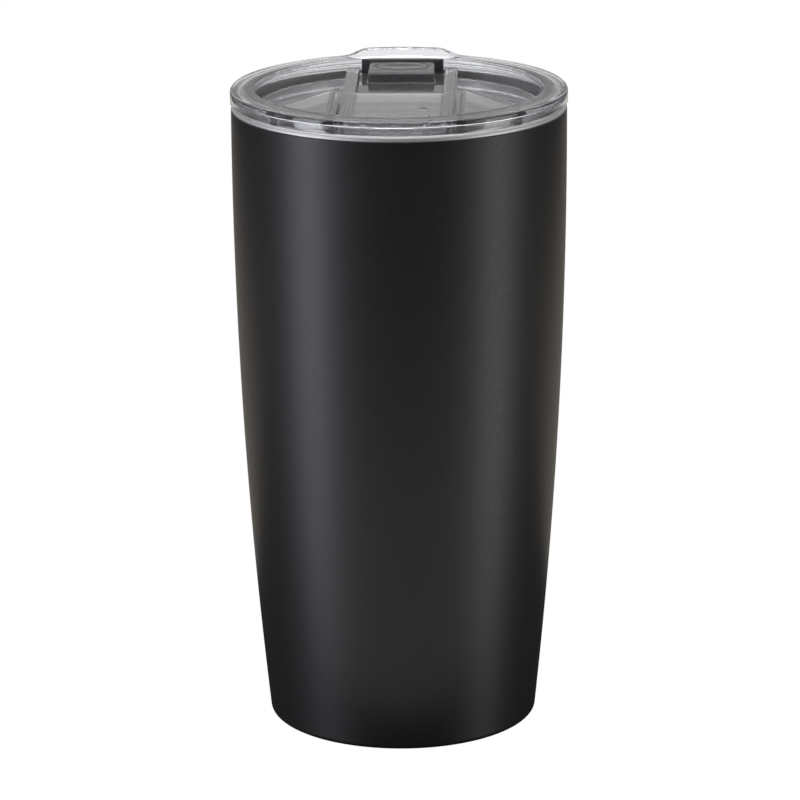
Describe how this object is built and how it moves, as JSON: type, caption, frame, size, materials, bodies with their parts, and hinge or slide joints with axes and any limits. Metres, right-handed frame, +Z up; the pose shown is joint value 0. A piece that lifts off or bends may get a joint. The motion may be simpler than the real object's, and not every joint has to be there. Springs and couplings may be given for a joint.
{
  "type": "insulated tumbler with lid",
  "caption": "Tapered double-wall vacuum tumbler with a matte black coat and a push-on clear lid, whose thumb slider covers the drinking hole.",
  "frame": {"origin": "centre of the foot ring, on the surface that the cup stands on", "axes": "+Z up along the cup's axis; +Y towards the side one drinks from; the slider opens towards -Y; +X to the drinker's left when facing -Y"},
  "size_m": [0.089, 0.089, 0.1746],
  "materials": {
    "powder_coat": "matte black powder coat with a fine texture",
    "steel": "brushed stainless",
    "copper": "bright foil",
    "getter_metal": "dull sintered metal",
    "frit": "fused glass bead",
    "clear_plastic": "clear, polished",
    "dark_silicone": "soft, matte"
  },
  "bodies": {
    "cup": {"outer_shell": "powder_coat", "liner": "steel", "liner_floor": "steel", "copper_foil": "copper", "vacuum_pan": "steel", "vacuum_seal_bead": "frit", "base_cover": "steel", "getter": "getter_metal", "getter_clip": "steel"},
    "gasket": {"lid_gasket": "dark_silicone"},
    "lid": {"lid_body": "clear_plastic", "slide_frame": "clear_plastic"},
    "slide": {"slider": "clear_plastic", "slider_pad": "dark_silicone"}
  },
  "joints": [
    {"name": "lid_lift", "type": "slide", "parent": "cup", "child": "gasket", "axis": [0, 0, 1], "range_m": [0, 0.04]},
    {"name": "lid_turn", "type": "hinge", "parent": "gasket", "child": "lid", "pos_m": [0, 0, 0.165], "axis": [0, 0, 1], "continuous": true},
    {"name": "slider_slide", "type": "slide", "parent": "lid", "child": "slide", "axis": [0, -1, 0], "range_m": [0, 0.014]}
  ]
}
